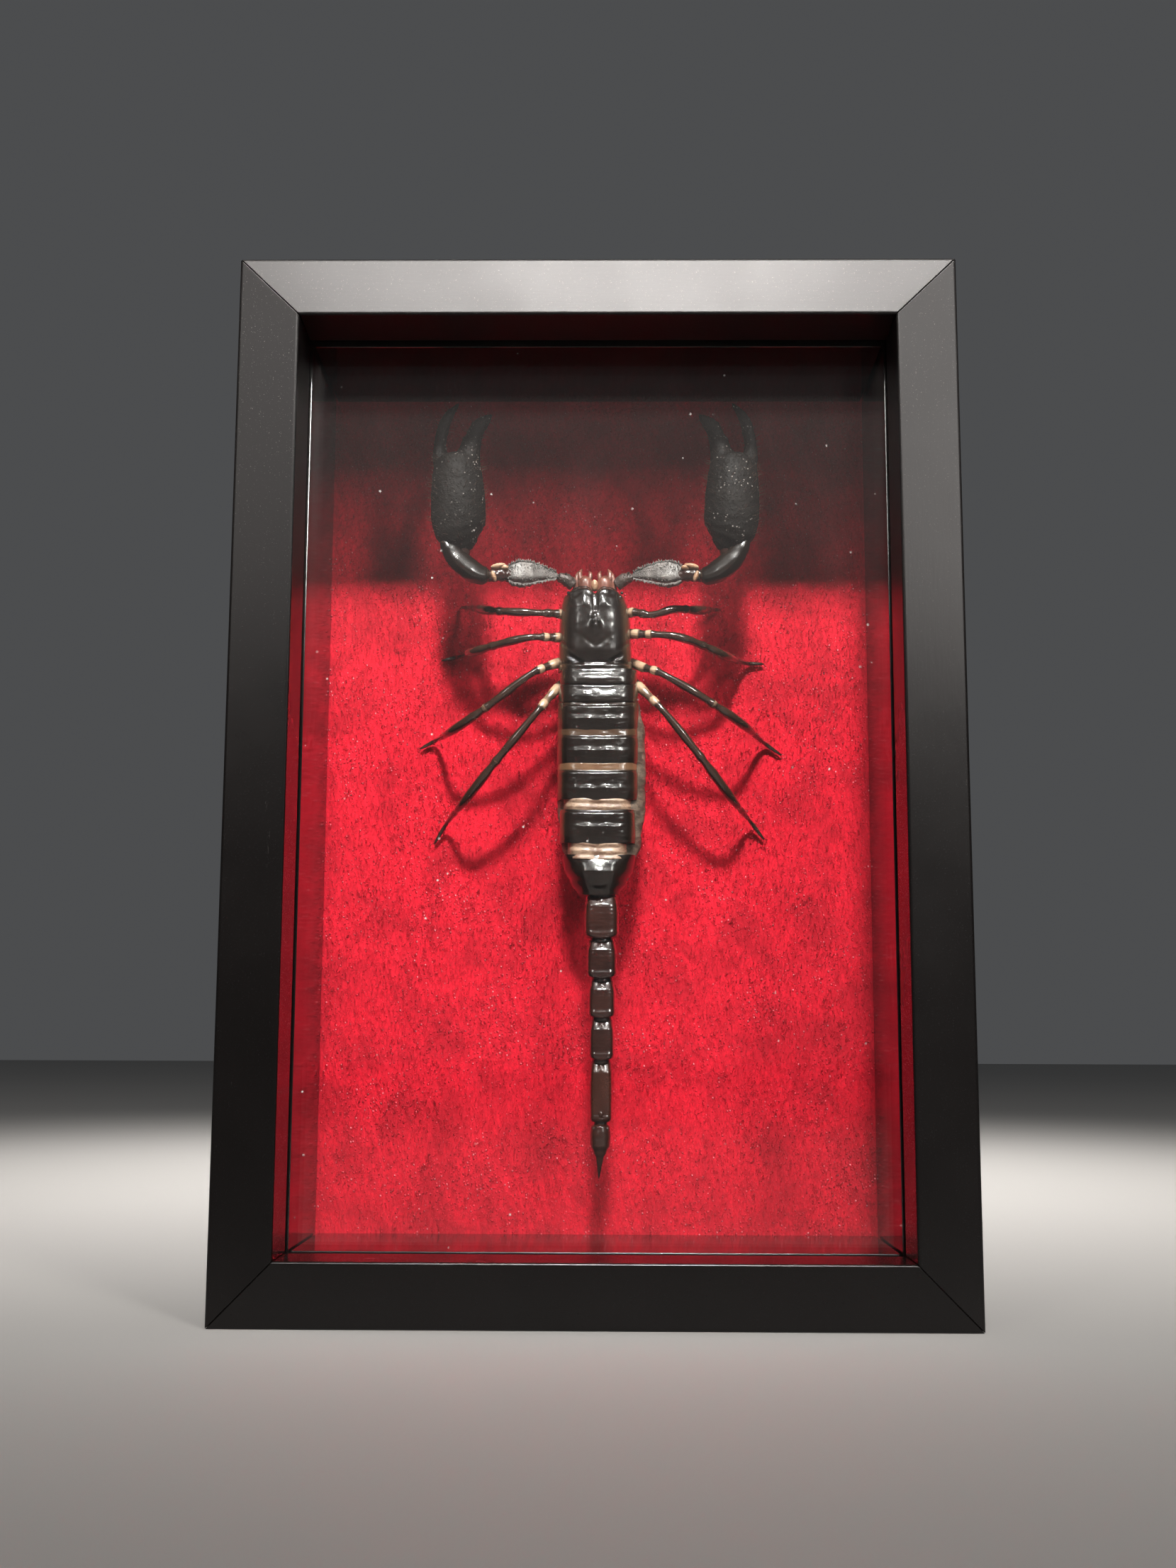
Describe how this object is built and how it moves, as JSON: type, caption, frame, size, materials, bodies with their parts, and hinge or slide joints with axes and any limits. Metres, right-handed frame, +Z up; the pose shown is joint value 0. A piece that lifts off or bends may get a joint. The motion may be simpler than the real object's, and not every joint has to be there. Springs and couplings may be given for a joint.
{
  "type": "framed scorpion specimen",
  "caption": "Dried black scorpion fixed on red velvet in a deep black shadow box frame with a clear glass front, to stand on a shelf or hang on a wall.",
  "frame": {"origin": "middle of the frame's underside, where it stands on a shelf", "axes": "+Z up the tall side, +X to the viewer's right, +Y back towards the wall, so the glass faces -Y"},
  "size_m": [0.111, 0.047, 0.161],
  "materials": {
    "frame_black": "black satin lacquer with fine scuffs, worn at the edges",
    "glass": "clear picture glass with a little dust",
    "liner_black": "satin-gloss black",
    "red_velvet": "short crimson pile with a mottled nap",
    "grey_board": "matt greyboard",
    "hardboard": "brown hardboard",
    "zinc_steel": "zinc-plated sheet",
    "brassed": "brass-plated steel",
    "shell_black": "glossy near-black shell",
    "claw_shell": "granular satin black shell with short hairs",
    "leg_shell": "glossy brown-black shell, tan at the joints",
    "shell_brown": "glossy dark brown shell"
  },
  "bodies": {
    "root": {"rail_top": "frame_black", "rail_bottom": "frame_black", "rail_left": "frame_black", "rail_right": "frame_black", "glass_pane": "glass", "wall_top": "liner_black", "wall_bottom": "liner_black", "wall_left": "liner_black", "wall_right": "liner_black", "velvet_cloth": "red_velvet", "backing_board": "grey_board", "back_panel": "hardboard", "point_1": "zinc_steel", "point_2": "zinc_steel", "point_3": "zinc_steel", "point_4": "zinc_steel", "point_5": "zinc_steel", "point_6": "zinc_steel", "hanger_plate": "brassed", "hanger_rivet_left": "brassed", "hanger_rivet_right": "brassed", "carapace": "shell_black", "abdomen": "shell_black", "chelicera_left": "shell_brown", "chelicera_right": "shell_brown", "tail_segment_1": "shell_black", "tail_segment_2": "shell_black", "tail_segment_3": "shell_black", "tail_segment_4": "shell_black", "tail_segment_5": "shell_brown", "stinger": "shell_brown", "arm_hip_left": "claw_shell", "arm_femur_left": "claw_shell", "arm_patella_left": "claw_shell", "claw_left": "claw_shell", "claw_finger_left": "claw_shell", "leg_left_1": "leg_shell", "leg_left_2": "leg_shell", "leg_left_3": "leg_shell", "leg_left_4": "leg_shell", "arm_hip_right": "claw_shell", "arm_femur_right": "claw_shell", "arm_patella_right": "claw_shell", "claw_right": "claw_shell", "claw_finger_right": "claw_shell", "leg_right_1": "leg_shell", "leg_right_2": "leg_shell", "leg_right_3": "leg_shell", "leg_right_4": "leg_shell"}
  },
  "joints": []
}
